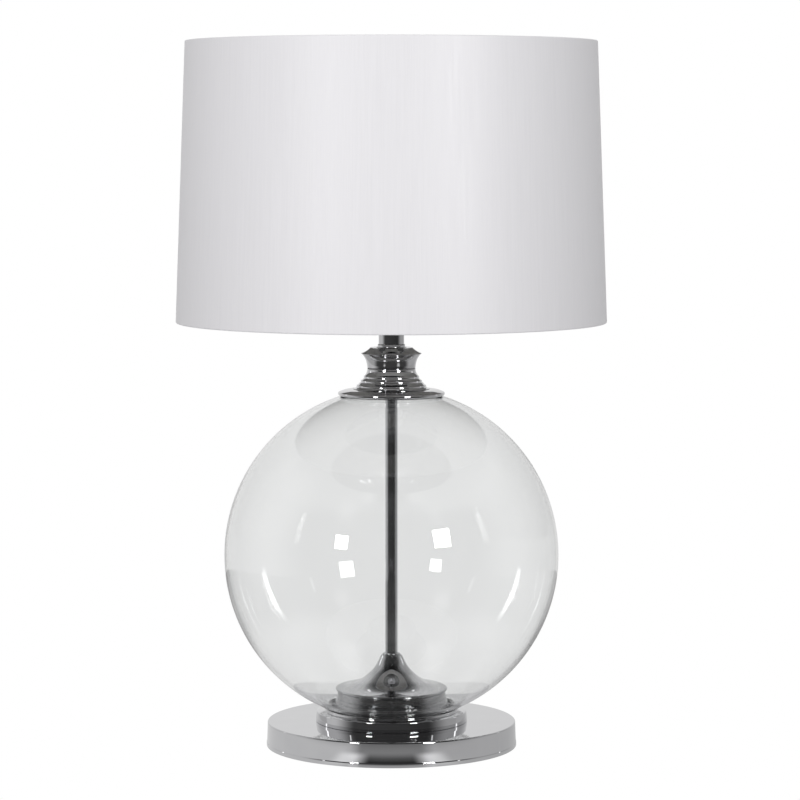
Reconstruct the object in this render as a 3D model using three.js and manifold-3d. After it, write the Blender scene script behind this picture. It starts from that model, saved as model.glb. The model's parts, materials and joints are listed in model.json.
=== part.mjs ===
// Table lamp with a drum shade. A clear glass globe is clamped between a polished round base and a
// stepped cap by one hollow threaded rod, which also carries the neck and the lampholder. The shade
// hangs on the lampholder by a ring fitter. Millimetres, +Z up, origin at the centre of the underside.
import * as THREE from 'three';
import { mergeVertices } from 'three/addons/utils/BufferGeometryUtils.js';
import Module from 'manifold-3d';

const wasm = await Module();
wasm.setup();

// ---------------------------------------------------------------- driving dimensions

const GAP = 0.3; // clearance between neighbouring pieces
const SHEET = 1.5; // wall of the spun metal pieces

const WIDE_ROUND = 36; // sides of the base, the plinth and the globe
const ROUND = 24; // sides of the other turned pieces
const SMALL_ROUND = 16; // sides of the smallest ones
const SHADE_ROUND = 48; // sides of the shade and its wires

const BASE = { rimR: 117.1, topR: 116, rimZ: 0.8, topZ: 23.8, edge: 1.8 };
const FELT = { innerR: 25, outerR: 110, height: 2 };
const COVER = { r: 112, height: 1.2 };
const WEIGHT = { r: 100, bottomZ: 10, recessR: 24, recessDepth: 7 };
const INLET = { z: 11, boreR: 3.3, neckR: 4.6, flangeR: 6.6, flange: 2 };

const ROD = { r: 4.9, boreR: 3.5, bottomZ: 9.5, topZ: 421.5 };
const ROD_HOLE_R = 5.3;
const NUT = { acrossFlats: 17, height: 5 };
const HOLDER_NUT = { acrossFlats: 14, height: 3.4 };
const WASHER = { bottomR: 18, capR: 16, height: 1.5 };

const PLINTH = { r: 70.9, wallTopZ: 32.5, shoulderR: 69.9, shoulderZ: 33.4, topZ: 34.2 };
const PLINTH_LIP = { innerR: 61, outerR: 62.8, height: 1.7 };
const WELL = { r: 57.4, floorZ: 27.5 }; // the recess in the plinth that the seat ring stands in
const GLOBE = { r: 156, z: 180, glass: 3, lowerHoleR: 58, upperHoleR: 40 };
const GASKET = { innerR: 58.8, outerR: 60.6 };
const SEAT = { topR: 50, topZ: 51.7, stepR: 1.6, stepZ: 4, steps: 4, innerR: 47 };
const BELL = { discR: 52.4, discZ: 52, discHeight: 2.3, lipR: 9.5, topZ: 85.6, wall: 1.2, collarR: 8 };
const STEM = { r: 5.7, boreR: 5.2, holeR: 6 };

const FLANGE = { rimR: 49.8, rimZ: 329.3, seatR: 47.6, seatZ: 333.3, topR: 44.5, topZ: 335.2 };
const CAP = { waistR: 22.6, waistZ: 355.3, tipR: 28.3, tipZ: 368.5, topR: 19.7, topZ: 374 };
const NECK = { r: 11.9, boreR: 11, topZ: 414, collarR: 13, collarZ: 377.2 };

const CUP = { r: 19.8, bottomR: 15, bottomZ: 414.3, topZ: 441, wall: 2.2 };
const SWITCH = { z: 428.5, barR: 2.5, buttonR: 3.2, button: 9, reach: 25.5, travel: 6, block: [22, 15, 10] };
const CORE = { r: 16.8, bottomZ: 438.3, topZ: 448 };
const SKIRT = { r: 19.6, boreR: 17.2, topZ: 474 };
const SCREW_SHELL = { r: 14.6, boreR: 13.8, topZ: 472 };
const CONTACT = { r: 4, z: 450.7 };
const TERMINAL = { r: 2.2, length: 3, x: 9 };
const SEAT_RING = { innerR: 19.9, outerR: 27, bottomZ: 448, topZ: 451 };
const CLAMP_RING = { flangeR: 27.5, collarR: 23.2, flange: 2, height: 8 };

const BULB = { capR: 13.2, capTopZ: 476.5, bodyR: 30, bodyZ: 514, topZ: 560, wall: 1.2 };
const BULB_TIP = { r: 4.4, height: 1.6 };
const BULB_INSULATOR = { bottomR: 4.6, topR: 9, height: 2.4 };

const SHADE = { bottomR: 200, topR: 190.3, bottomZ: 397.8, topZ: 657.4, cloth: 0.8, lining: 0.8 };
const WIRE_R = 1.5; // rings of the shade frame
const FITTER = { innerR: 20.8, outerR: 27, thickness: 1.5, armR: 1.75, arms: 3 };

// ---------------------------------------------------------------- materials

function finish(color, roughness, metalness = 0) {
  return new THREE.MeshStandardMaterial({ color, roughness, metalness });
}

const chrome = finish(0xd8d9dc, 0.06, 1);
const castIron = finish(0x3a3b3d, 0.7, 0.6);
const steel = finish(0xa9acb0, 0.35, 1);
const brass = finish(0xc9a45a, 0.3, 1);
const rubber = finish(0x17181a, 0.8);
const felt = finish(0x22242a, 0.95);
const cloth = finish(0xf1f0f2, 0.75);
const lining = finish(0xf7f6f3, 0.45);
const paintedWire = finish(0xeeeeec, 0.4);
const whitePlastic = finish(0xf0efec, 0.35);
const blackPlastic = finish(0x151515, 0.3);
const ceramic = finish(0xe9e6df, 0.25);
const opal = finish(0xfaf9f5, 0.35);
const glass = new THREE.MeshStandardMaterial({
  color: 0xeef2f3, roughness: 0.02, metalness: 0, transparent: true, opacity: 0.3,
});

// ---------------------------------------------------------------- shape helpers

// A solid turned about Z from a closed outline of [radius, height] points.
function turned(outline, sides = ROUND) {
  let doubledArea = 0;
  outline.forEach(([r, z], i) => {
    const [nextR, nextZ] = outline[(i + 1) % outline.length];
    doubledArea += r * nextZ - nextR * z;
  });
  const ordered = doubledArea > 0 ? [...outline] : [...outline].reverse();
  ordered.push(ordered[0]);
  const points = ordered.map(([r, z]) => new THREE.Vector2(r, z));
  return new THREE.LatheGeometry(points, sides).rotateX(Math.PI / 2);
}

// A plain ring, or a tube, between two radii and two heights.
function ring(innerR, outerR, bottomZ, topZ, sides = ROUND) {
  return turned([[innerR, bottomZ], [outerR, bottomZ], [outerR, topZ], [innerR, topZ]], sides);
}

// Points on a circle in the outline plane, from one angle to another in degrees.
function arc(centreR, centreZ, radius, fromDeg, toDeg, steps) {
  return Array.from({ length: steps + 1 }, (_, i) => {
    const angle = THREE.MathUtils.degToRad(fromDeg + ((toDeg - fromDeg) * i) / steps);
    return [centreR + radius * Math.cos(angle), centreZ + radius * Math.sin(angle)];
  });
}

// A smooth curve through the given outline points.
function smooth(points, steps) {
  const curve = new THREE.SplineCurve(points.map(([r, z]) => new THREE.Vector2(r, z)));
  return curve.getPoints(steps).map(({ x, y }) => [x, y]);
}

// The outline's inner side: every point moved in by the wall, square to the outline.
function inset(outline, wall) {
  return outline.map(([r, z], i) => {
    const [beforeR, beforeZ] = outline[Math.max(i - 1, 0)];
    const [afterR, afterZ] = outline[Math.min(i + 1, outline.length - 1)];
    const length = Math.hypot(afterR - beforeR, afterZ - beforeZ);
    return [r - (wall * (afterZ - beforeZ)) / length, z + (wall * (afterR - beforeR)) / length];
  });
}

function asSolid(geometry) {
  const bare = geometry.clone();
  bare.deleteAttribute('normal');
  bare.deleteAttribute('uv');
  const { attributes, index } = mergeVertices(bare, 1e-4);
  const vertProperties = new Float32Array(attributes.position.array);
  const triVerts = new Uint32Array(index.array);
  return new wasm.Manifold(new wasm.Mesh({ numProp: 3, vertProperties, triVerts }));
}

// The geometry with the given tools cut out of it.
function cut(geometry, ...tools) {
  const solid = tools.reduce((left, tool) => left.subtract(asSolid(tool)), asSolid(geometry));
  const { vertProperties, triVerts } = solid.getMesh();
  const result = new THREE.BufferGeometry();
  result.setAttribute('position', new THREE.BufferAttribute(new Float32Array(vertProperties), 3));
  result.setIndex(new THREE.BufferAttribute(new Uint32Array(triVerts), 1));
  result.computeVertexNormals();
  return result;
}

// A cylinder along an axis of the frame, centred on the given point.
function bar(axis, radius, length, centre, sides = SMALL_ROUND) {
  const geometry = new THREE.CylinderGeometry(radius, radius, length, sides);
  if (axis === 'x') geometry.rotateZ(-Math.PI / 2);
  if (axis === 'z') geometry.rotateX(Math.PI / 2);
  return geometry.translate(...centre);
}

// A straight round rod between two points.
function strut(from, to, radius, sides = 8) {
  const start = new THREE.Vector3(...from);
  const end = new THREE.Vector3(...to);
  const geometry = new THREE.CylinderGeometry(radius, radius, start.distanceTo(end), sides);
  const along = end.clone().sub(start).normalize();
  geometry.applyQuaternion(new THREE.Quaternion().setFromUnitVectors(new THREE.Vector3(0, 1, 0), along));
  const middle = start.add(end).multiplyScalar(0.5);
  return geometry.translate(middle.x, middle.y, middle.z);
}

// A hexagonal nut with a round hole, standing on the given height.
function hexNut(bottomZ, { acrossFlats, height } = NUT) {
  const outline = new THREE.Shape();
  for (let corner = 0; corner < 6; corner++) {
    const angle = (corner * Math.PI) / 3;
    const radius = acrossFlats / Math.sqrt(3);
    outline[corner ? 'lineTo' : 'moveTo'](radius * Math.cos(angle), radius * Math.sin(angle));
  }
  outline.closePath();
  outline.holes.push(new THREE.Path().absarc(0, 0, ROD_HOLE_R, 0, 2 * Math.PI, true));
  const options = { depth: height, bevelEnabled: false, curveSegments: SMALL_ROUND / 2 };
  return new THREE.ExtrudeGeometry(outline, options).translate(0, 0, bottomZ);
}

const lamp = new THREE.Group();

function add(name, geometry, material) {
  const mesh = new THREE.Mesh(geometry, material);
  mesh.name = name;
  lamp.add(mesh);
}

// Height of the globe's outer face at a radius, on its lower or its upper half.
function globeHeight(r, side) {
  return GLOBE.z + side * Math.sqrt(GLOBE.r ** 2 - r ** 2);
}

// ---------------------------------------------------------------- base

function addBase() {
  const coverTop = FELT.height + GAP + COVER.height;
  add('foot_felt', ring(FELT.innerR, FELT.outerR, 0, FELT.height, WIDE_ROUND), felt);
  add('base_cover', turned([
    [0, FELT.height + GAP], [COVER.r, FELT.height + GAP], [COVER.r, coverTop], [0, coverTop],
  ], WIDE_ROUND), steel);

  // One pressed shell: a rolled lower lip, a slightly tapered wall, a rounded edge and a flat top.
  const panOutline = [
    [BASE.rimR - 0.8, BASE.rimZ],
    [BASE.rimR, BASE.rimZ + 1],
    ...arc(BASE.topR - BASE.edge, BASE.topZ - BASE.edge, BASE.edge, 0, 90, 3),
  ];
  const pan = turned([
    ...panOutline,
    [ROD_HOLE_R, BASE.topZ],
    [ROD_HOLE_R, BASE.topZ - SHEET],
    [BASE.topR - BASE.edge, BASE.topZ - SHEET],
    [BASE.topR - SHEET, BASE.topZ - BASE.edge],
    [BASE.rimR - SHEET - 0.4, BASE.rimZ + 1],
    [BASE.rimR - SHEET - 0.4, BASE.rimZ],
  ], WIDE_ROUND);
  const inletHole = bar('y', INLET.neckR + GAP + 0.1, 12, [0, BASE.rimR, INLET.z]);
  add('base_pan', cut(pan, inletHole), chrome);

  const weightTop = BASE.topZ - SHEET - GAP;
  const recessTop = WEIGHT.bottomZ + WEIGHT.recessDepth;
  add('base_weight', turned([
    [ROD_HOLE_R, recessTop], [WEIGHT.recessR, recessTop], [WEIGHT.recessR, WEIGHT.bottomZ],
    [WEIGHT.r, WEIGHT.bottomZ], [WEIGHT.r, weightTop], [ROD_HOLE_R, weightTop],
  ], WIDE_ROUND), castIron);
  const washerBottom = recessTop - GAP - WASHER.height;
  add('bottom_washer', ring(ROD_HOLE_R, WASHER.bottomR, washerBottom, recessTop - GAP, SMALL_ROUND), steel);
  add('bottom_nut', hexNut(washerBottom - GAP - NUT.height), steel);
}

// The rubber grommet in the back of the base: two flanges with the pan's wall between them.
function addCordInlet() {
  const outerFace = BASE.rimR + GAP;
  const innerFace = BASE.topR - SHEET - 3 * GAP;
  const grommet = turned([
    [INLET.boreR, innerFace - INLET.flange], [INLET.flangeR - 0.8, innerFace - INLET.flange],
    [INLET.flangeR - 0.8, innerFace], [INLET.neckR, innerFace],
    [INLET.neckR, outerFace], [INLET.flangeR, outerFace],
    [INLET.flangeR - 0.6, outerFace + INLET.flange], [INLET.boreR, outerFace + INLET.flange],
  ], SMALL_ROUND);
  add('cord_grommet', grommet.rotateX(-Math.PI / 2).translate(0, 0, INLET.z), rubber);
}

// ---------------------------------------------------------------- plinth and globe

function addPlinth() {
  const bottomZ = BASE.topZ + GAP;
  add('plinth', turned([
    [ROD_HOLE_R, bottomZ],
    [PLINTH.r, bottomZ],
    [PLINTH.r, PLINTH.wallTopZ],
    [PLINTH.shoulderR, PLINTH.shoulderZ],
    [PLINTH_LIP.outerR, PLINTH.topZ],
    [PLINTH_LIP.outerR, PLINTH.topZ + PLINTH_LIP.height],
    [PLINTH_LIP.innerR, PLINTH.topZ + PLINTH_LIP.height],
    [PLINTH_LIP.innerR, PLINTH.topZ],
    [WELL.r + 0.8, PLINTH.topZ],
    [WELL.r, PLINTH.topZ - 0.8],
    [WELL.r, WELL.floorZ],
    [ROD_HOLE_R, WELL.floorZ],
  ], WIDE_ROUND), chrome);
  add('lower_gasket', turned([
    [GASKET.innerR, PLINTH.topZ + GAP],
    [GASKET.outerR, PLINTH.topZ + GAP],
    [GASKET.outerR, globeHeight(GASKET.outerR, -1) - GAP],
    [GASKET.innerR, globeHeight(GASKET.innerR, -1) - GAP],
  ], WIDE_ROUND), rubber);
}

function addGlobe() {
  const wallMiddle = GLOBE.r - GLOBE.glass / 2;
  const lowerDeg = THREE.MathUtils.radToDeg(Math.acos(GLOBE.lowerHoleR / wallMiddle));
  const upperDeg = THREE.MathUtils.radToDeg(Math.acos(GLOBE.upperHoleR / wallMiddle));
  add('glass_globe', turned([
    ...arc(0, GLOBE.z, GLOBE.r, -lowerDeg, upperDeg, 11),
    ...arc(0, GLOBE.z, GLOBE.r - GLOBE.glass, upperDeg, -lowerDeg, 11),
  ], WIDE_ROUND), glass);
}

// The stepped ring that centres the globe, with the bell and the stem standing on it.
function addStem() {
  const seatBottom = WELL.floorZ + GAP;
  const steps = [];
  for (let step = 0; step < SEAT.steps; step++) {
    const r = SEAT.topR + step * SEAT.stepR;
    const topZ = SEAT.topZ - step * SEAT.stepZ;
    steps.push([r, topZ], [r, topZ - SEAT.stepZ]);
  }
  const footR = SEAT.topR + SEAT.steps * SEAT.stepR;
  add('seat_ring', turned([
    [ROD_HOLE_R, SEAT.topZ],
    ...steps,
    [footR, SEAT.topZ - SEAT.steps * SEAT.stepZ],
    [footR, seatBottom],
    [SEAT.innerR, seatBottom],
    [SEAT.innerR, SEAT.topZ - 2 * SHEET],
    [ROD_HOLE_R, SEAT.topZ - 2 * SHEET],
  ]), chrome);

  // Trumpet bell: a flat disc that sweeps up to a narrow lip round the stem.
  const trumpet = smooth([[40, 57], [27, 63.4], [18.8, 70], [13.8, 76.8], [10.8, 82.9]], 6);
  const bellTop = BELL.discZ + BELL.discHeight;
  const bellInside = inset(trumpet, BELL.wall).reverse();
  add('stem_bell', turned([
    [BELL.discR - 0.7, BELL.discZ], [BELL.discR, BELL.discZ + 0.7], [BELL.discR, bellTop - 0.7],
    [BELL.discR - 0.7, bellTop],
    ...trumpet,
    [BELL.lipR, BELL.topZ], [STEM.holeR, BELL.topZ], [STEM.holeR, BELL.topZ - BELL.wall],
    ...bellInside,
    [BELL.discR - 6, BELL.discZ],
  ]), chrome);
  const collarZ = BELL.topZ + GAP;
  add('bell_collar', ring(STEM.holeR, BELL.collarR, collarZ, collarZ + SHEET, SMALL_ROUND), chrome);

  add('stem_tube', ring(STEM.boreR, STEM.r, SEAT.topZ + GAP, FLANGE.seatZ - GAP, SMALL_ROUND), chrome);
  add('threaded_rod', ring(ROD.boreR, ROD.r, ROD.bottomZ, ROD.topZ, SMALL_ROUND), steel);
}

// ---------------------------------------------------------------- cap and neck

function addCap() {
  const gasketR = [GLOBE.upperHoleR + 1, FLANGE.seatR - GAP];
  add('upper_gasket', turned([
    [gasketR[0], globeHeight(gasketR[0], 1) + GAP],
    [gasketR[1], globeHeight(gasketR[1], 1) + GAP],
    [gasketR[1], FLANGE.seatZ - GAP],
    [gasketR[0], FLANGE.seatZ - GAP],
  ], WIDE_ROUND), rubber);
  add('cap_flange', turned([
    [ROD_HOLE_R, FLANGE.seatZ], [FLANGE.seatR, FLANGE.seatZ], [FLANGE.seatR, FLANGE.rimZ],
    [FLANGE.rimR, FLANGE.rimZ], [FLANGE.rimR - 0.2, FLANGE.rimZ + 1.8],
    [FLANGE.topR, FLANGE.topZ], [ROD_HOLE_R, FLANGE.topZ],
  ], WIDE_ROUND), chrome);

  const washerZ = FLANGE.topZ + GAP;
  const washerTop = washerZ + WASHER.height;
  add('cap_washer', ring(ROD_HOLE_R, WASHER.capR, washerZ, washerTop, SMALL_ROUND), steel);
  add('cap_nut', hexNut(washerTop + GAP), steel);

  // Three rounded steps, each smaller than the one below, that sweep in to a narrow waist.
  const skirt = [
    [34.7, FLANGE.topZ + GAP], [34.7, 337.4], [33.2, 339.2],
    [31.9, 339.6], [31.7, 341.4], [29.9, 342.9],
    [28.3, 343.8], [28, 345.6], [24.8, 348.4],
    [23.1, 351.8], [CAP.waistR, CAP.waistZ],
  ];
  const capWall = [
    [CAP.waistR - SHEET, CAP.waistZ - SHEET], [CAP.waistR - SHEET + 0.4, 351],
    [26.4, 345], [26.4, 342.6], [29.6, 341.4], [33.2, 337], [33.2, FLANGE.topZ + GAP],
  ];
  add('cap_vase', turned([
    ...skirt, [ROD_HOLE_R, CAP.waistZ], [ROD_HOLE_R, CAP.waistZ - SHEET], ...capWall,
  ]), chrome);

  // A flared crown with one sharp edge, coved in above it to a small flat top.
  const crown = [
    [CAP.waistR, CAP.waistZ + GAP],
    ...smooth([[22.8, 358], [23.9, 362.5], [26, 365.9], [CAP.tipR, CAP.tipZ]], 3),
    ...arc(CAP.tipR - 0.6, CAP.topZ + 1.8, 7.1, -95, -166, 3),
  ];
  add('cap_crown', turned([
    ...crown,
    [CAP.topR, CAP.topZ], [ROD_HOLE_R, CAP.topZ], [ROD_HOLE_R, CAP.topZ - SHEET],
    [CAP.topR - SHEET, CAP.topZ - SHEET], [CAP.topR, 369.4], [24.4, 367.6], [22.4, 363], [21.2, 358],
    [CAP.waistR - SHEET, CAP.waistZ + GAP],
  ]), chrome);
}

function addNeck() {
  const collarBottom = CAP.topZ + GAP;
  add('neck_collar', turned([
    [ROD_HOLE_R, collarBottom], [NECK.collarR, collarBottom],
    [NECK.collarR - 0.4, NECK.collarZ], [ROD_HOLE_R, NECK.collarZ],
  ]), chrome);
  add('neck_tube', ring(NECK.boreR, NECK.r, NECK.collarZ + GAP, NECK.topZ), chrome);
}

// ---------------------------------------------------------------- lampholder

function addHolder() {
  const cupFloor = CUP.bottomZ + CUP.wall;
  const cup = turned([
    [ROD_HOLE_R, CUP.bottomZ], [CUP.bottomR - 1, CUP.bottomZ], [CUP.bottomR + 2.8, CUP.bottomZ + 4],
    [CUP.r, CUP.bottomZ + 9], [CUP.r, CUP.topZ],
    [CUP.r - CUP.wall, CUP.topZ], [CUP.r - CUP.wall, CUP.bottomZ + 9.6],
    [CUP.bottomR + 1.2, CUP.bottomZ + 5], [CUP.bottomR - 2, cupFloor], [ROD_HOLE_R, cupFloor],
  ]);
  const barHole = bar('x', SWITCH.buttonR + GAP, 2 * CUP.r + 4, [0, 0, SWITCH.z]);
  add('holder_cup', cut(cup, barHole), whitePlastic);
  add('holder_nut', hexNut(cupFloor + GAP, HOLDER_NUT), steel);

  add('holder_core', turned([
    [0, CORE.bottomZ], [CORE.r, CORE.bottomZ], [CORE.r, CORE.topZ], [0, CORE.topZ],
  ]), ceramic);
  add('screw_shell', ring(SCREW_SHELL.boreR, SCREW_SHELL.r, CORE.topZ + GAP, SCREW_SHELL.topZ), brass);
  add('centre_contact', turned([
    [0, CORE.topZ + GAP], [CONTACT.r, CORE.topZ + GAP], [CONTACT.r - 1, CONTACT.z], [0, CONTACT.z],
  ], SMALL_ROUND), brass);
  for (const [side, x] of [['left', -TERMINAL.x], ['right', TERMINAL.x]]) {
    const z = CORE.bottomZ - GAP - TERMINAL.length / 2;
    add(`terminal_screw_${side}`, bar('z', TERMINAL.r, TERMINAL.length, [x, 0, z]), brass);
  }
  add('holder_skirt', ring(SKIRT.boreR, SKIRT.r, CUP.topZ + GAP, SKIRT.topZ), whitePlastic);
  const { innerR, outerR, bottomZ, topZ } = SEAT_RING;
  add('shade_seat_ring', ring(innerR, outerR, bottomZ, topZ), whitePlastic);
}

// The push bar runs through the switch block and stands out further on the right, the side to press.
function addSwitch() {
  const [length, width, height] = SWITCH.block;
  const block = new THREE.BoxGeometry(length, width, height).translate(0, 0, SWITCH.z);
  add('switch_block', cut(block, bar('x', SWITCH.barR + GAP, length + 4, [0, 0, SWITCH.z])), blackPlastic);

  const middle = SWITCH.travel / 2;
  const barLength = 2 * (SWITCH.reach - SWITCH.button - GAP);
  add('switch_bar', bar('x', SWITCH.barR, barLength, [middle, 0, SWITCH.z]), whitePlastic);
  for (const [name, side] of [['left', -1], ['right', 1]]) {
    const x = middle + side * (SWITCH.reach - SWITCH.button / 2);
    add(`switch_button_${name}`, bar('x', SWITCH.buttonR, SWITCH.button, [x, 0, SWITCH.z]), whitePlastic);
  }
}

// ---------------------------------------------------------------- bulb

function addBulb() {
  const tipZ = CONTACT.z + GAP;
  const tipTop = tipZ + BULB_TIP.height;
  add('bulb_contact', turned([
    [0, tipZ], [BULB_TIP.r - 1.4, tipZ], [BULB_TIP.r, tipZ + 0.8], [BULB_TIP.r, tipTop], [0, tipTop],
  ], SMALL_ROUND), steel);
  const insulatorZ = tipTop + GAP;
  const insulatorTop = insulatorZ + BULB_INSULATOR.height;
  add('bulb_insulator', turned([
    [0, insulatorZ], [BULB_INSULATOR.bottomR, insulatorZ],
    [BULB_INSULATOR.topR, insulatorTop], [0, insulatorTop],
  ], SMALL_ROUND), blackPlastic);
  const capZ = insulatorTop + GAP;
  add('bulb_cap', turned([
    [6, capZ], [9.6, capZ], [BULB.capR, capZ + 3], [BULB.capR, BULB.capTopZ],
    [BULB.capR - 1, BULB.capTopZ], [BULB.capR - 1, capZ + 3.6], [6, capZ + 1],
  ]), steel);

  // White housing that flares like a tulip from the cap to the rim of the dome.
  const flare = smooth([[14.2, 478.5], [16.5, 488], [21.5, 500], [BULB.bodyR - 1.4, BULB.bodyZ - GAP]], 4);
  add('bulb_housing', turned([
    [12, BULB.capTopZ + GAP], [13.4, BULB.capTopZ + GAP],
    ...flare, ...inset(flare, BULB.wall).reverse(),
  ]), whitePlastic);

  // Opal dome: most of a sphere above the housing's rim, open where it meets the housing.
  const domeZ = BULB.topZ - BULB.bodyR;
  const startDeg = -THREE.MathUtils.radToDeg(Math.asin((domeZ - BULB.bodyZ) / BULB.bodyR));
  add('bulb_dome', turned([
    ...arc(0, domeZ, BULB.bodyR, startDeg, 90, 6),
    ...arc(0, domeZ, BULB.bodyR - BULB.wall, 90, startDeg, 6),
  ]), opal);
}

// ---------------------------------------------------------------- shade

// Radius of the shade's outer face at a height.
function shadeR(z) {
  const along = (z - SHADE.bottomZ) / (SHADE.topZ - SHADE.bottomZ);
  return THREE.MathUtils.lerp(SHADE.bottomR, SHADE.topR, along);
}

// A tapered wall that follows the shade at a depth below its outer face.
function shadeWall(depth, thickness, bottomZ, topZ) {
  const [lower, upper] = [shadeR(bottomZ) - depth, shadeR(topZ) - depth];
  return turned([
    [lower - thickness, bottomZ], [lower, bottomZ], [upper, topZ], [upper - thickness, topZ],
  ], SHADE_ROUND);
}

function addShade() {
  const liningDepth = SHADE.cloth + GAP;
  const wireDepth = liningDepth + SHADE.lining + GAP + WIRE_R;
  const wireInset = 2.5;
  add('shade_fabric', shadeWall(0, SHADE.cloth, SHADE.bottomZ, SHADE.topZ), cloth);
  add('shade_lining', shadeWall(liningDepth, SHADE.lining, SHADE.bottomZ + 0.5, SHADE.topZ - 0.5), lining);

  const lowerWire = { z: SHADE.bottomZ + wireInset, r: shadeR(SHADE.bottomZ) - wireDepth - 0.1 };
  const upperWire = { z: SHADE.topZ - wireInset, r: shadeR(SHADE.topZ) - wireDepth - 0.1 };
  for (const [name, wire] of [['bottom_wire', lowerWire], ['top_wire', upperWire]]) {
    add(name, turned(arc(wire.r, wire.z, WIRE_R, 30, 330, 5), SHADE_ROUND), paintedWire);
  }

  // Ring fitter: a flat ring between the two rings of the lampholder, and arms down to the lower wire.
  const ringBottom = SEAT_RING.topZ + GAP;
  const ringTop = ringBottom + FITTER.thickness;
  add('fitter_ring', ring(FITTER.innerR, FITTER.outerR, ringBottom, ringTop), paintedWire);
  for (let arm = 0; arm < FITTER.arms; arm++) {
    const angle = Math.PI / 2 + (arm * 2 * Math.PI) / FITTER.arms;
    const at = (r, z) => [r * Math.cos(angle), r * Math.sin(angle), z];
    const inner = at(FITTER.outerR + GAP + 0.6, ringBottom + FITTER.thickness / 2);
    const outer = at(lowerWire.r - WIRE_R - GAP - 0.8, lowerWire.z + 0.2);
    add(`fitter_arm_${arm + 1}`, strut(inner, outer, FITTER.armR), paintedWire);
  }

  const clampZ = ringTop + GAP;
  add('shade_ring', turned([
    [SEAT_RING.innerR, clampZ], [CLAMP_RING.flangeR, clampZ],
    [CLAMP_RING.flangeR, clampZ + CLAMP_RING.flange], [CLAMP_RING.collarR, clampZ + CLAMP_RING.flange],
    [CLAMP_RING.collarR, clampZ + CLAMP_RING.height], [SEAT_RING.innerR, clampZ + CLAMP_RING.height],
  ]), whitePlastic);
}

addBase();
addCordInlet();
addPlinth();
addGlobe();
addStem();
addCap();
addNeck();
addHolder();
addSwitch();
addBulb();
addShade();

export default lamp;
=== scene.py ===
"""Table lamp: a clear glass globe between a polished base and a stepped cap, under a white drum shade.

Outlines are in millimetres, as (radius, height) from the lamp's axis, and meshes are in metres.
"""

import json
import math

import bmesh
import bpy
from mathutils import Matrix, Vector


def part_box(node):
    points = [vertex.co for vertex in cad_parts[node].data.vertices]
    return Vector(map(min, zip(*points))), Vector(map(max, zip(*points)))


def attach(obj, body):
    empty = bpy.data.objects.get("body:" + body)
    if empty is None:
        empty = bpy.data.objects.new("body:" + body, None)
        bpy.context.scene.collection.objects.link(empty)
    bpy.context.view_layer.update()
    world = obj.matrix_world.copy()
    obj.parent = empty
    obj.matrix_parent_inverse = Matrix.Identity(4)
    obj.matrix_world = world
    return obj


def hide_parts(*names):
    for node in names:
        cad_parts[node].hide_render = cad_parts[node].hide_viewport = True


MM = 0.001
SIDES = 192
FINE_SIDES = 96
FILLET_STEPS = 6

# Radii and heights that the new meshes share with the CAD part, in millimetres.
ROD_HOLE_R = 5.3
GLOBE_R, GLOBE_Z, GLASS = 156.0, 180.0, 3.0
LOWER_HOLE_R, UPPER_HOLE_R = 58.0, 40.0
PLINTH_LIP_HEIGHT = 1.7
SHADE_BOTTOM_R, SHADE_TOP_R = 200.0, 190.3

# Tint range of the glass.
GLASS_LOW = (0.975, 0.98, 0.979)
GLASS_HIGH = (0.985, 0.989, 0.988)

# The view: focal length in millimetres, place in metres, tilt in degrees.
LENS = 143.74
CAMERA_AT = (0.008, -2.9644, 0.5713)
CAMERA_DOWN = 4.751

# Brightness of the studio and the floor as seen, and of the soft light.
SEEN_DIRECTLY = 1.0
# Seen straight through the glass, the studio and floor are painted this much greyer.
SEEN_THROUGH_GLASS = 0.88
KEY_LEVEL = 1.36
FILL_LEVEL = 0.42

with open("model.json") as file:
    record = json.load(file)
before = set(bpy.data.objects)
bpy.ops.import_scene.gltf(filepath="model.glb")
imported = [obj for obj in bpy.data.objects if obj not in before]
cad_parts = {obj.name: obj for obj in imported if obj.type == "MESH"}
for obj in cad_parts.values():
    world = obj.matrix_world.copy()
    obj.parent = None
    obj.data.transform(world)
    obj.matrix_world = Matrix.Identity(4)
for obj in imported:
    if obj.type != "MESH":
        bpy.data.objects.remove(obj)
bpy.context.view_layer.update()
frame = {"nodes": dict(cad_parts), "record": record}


def span(node):
    """Radius, bottom and top of a turned CAD node, in millimetres."""
    low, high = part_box(node)
    return high.x / MM, low.z / MM, high.z / MM


# ---------------------------------------------------------------- camera, light and floor


def make_camera():
    """A long lens a little above the globe, looking slightly down."""
    data = bpy.data.cameras.new("camera")
    data.lens = LENS
    data.sensor_width = 36
    camera = bpy.data.objects.new("camera", data)
    bpy.context.scene.collection.objects.link(camera)
    camera.location = CAMERA_AT
    camera.rotation_euler = (math.radians(90 - CAMERA_DOWN), 0, 0)
    bpy.context.scene.camera = camera


def direction(azimuth, elevation):
    """A unit vector: azimuth 0 is the front, -Y, and 90 is the right, +X."""
    a, e = math.radians(azimuth), math.radians(elevation)
    return Vector((math.sin(a) * math.cos(e), -math.cos(a) * math.cos(e), math.sin(e)))


def add_softbox(name, azimuth, elevation, distance, size, radiance, target=(0, 0, 0.18), spread=180):
    """A rectangular light that faces a target. A spread under 180 degrees acts like a grid over it."""
    data = bpy.data.lights.new(name, "AREA")
    data.shape = "RECTANGLE"
    data.size, data.size_y = size
    data.spread = math.radians(spread)
    gather = 1.0
    if spread < 180:
        half = data.spread / 2
        gather = math.tan(half) / (math.tan(half) - half)
    data.energy = radiance * math.pi * data.size * data.size_y / gather
    light = bpy.data.objects.new(name, data)
    bpy.context.scene.collection.objects.link(light)
    light.location = Vector((0, 0, 0.18)) + direction(azimuth, elevation) * distance
    light.rotation_mode = "QUATERNION"
    light.rotation_quaternion = (light.location - Vector(target)).to_track_quat("Z", "Y")
    light.visible_camera = False
    light.visible_diffuse = False


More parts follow.
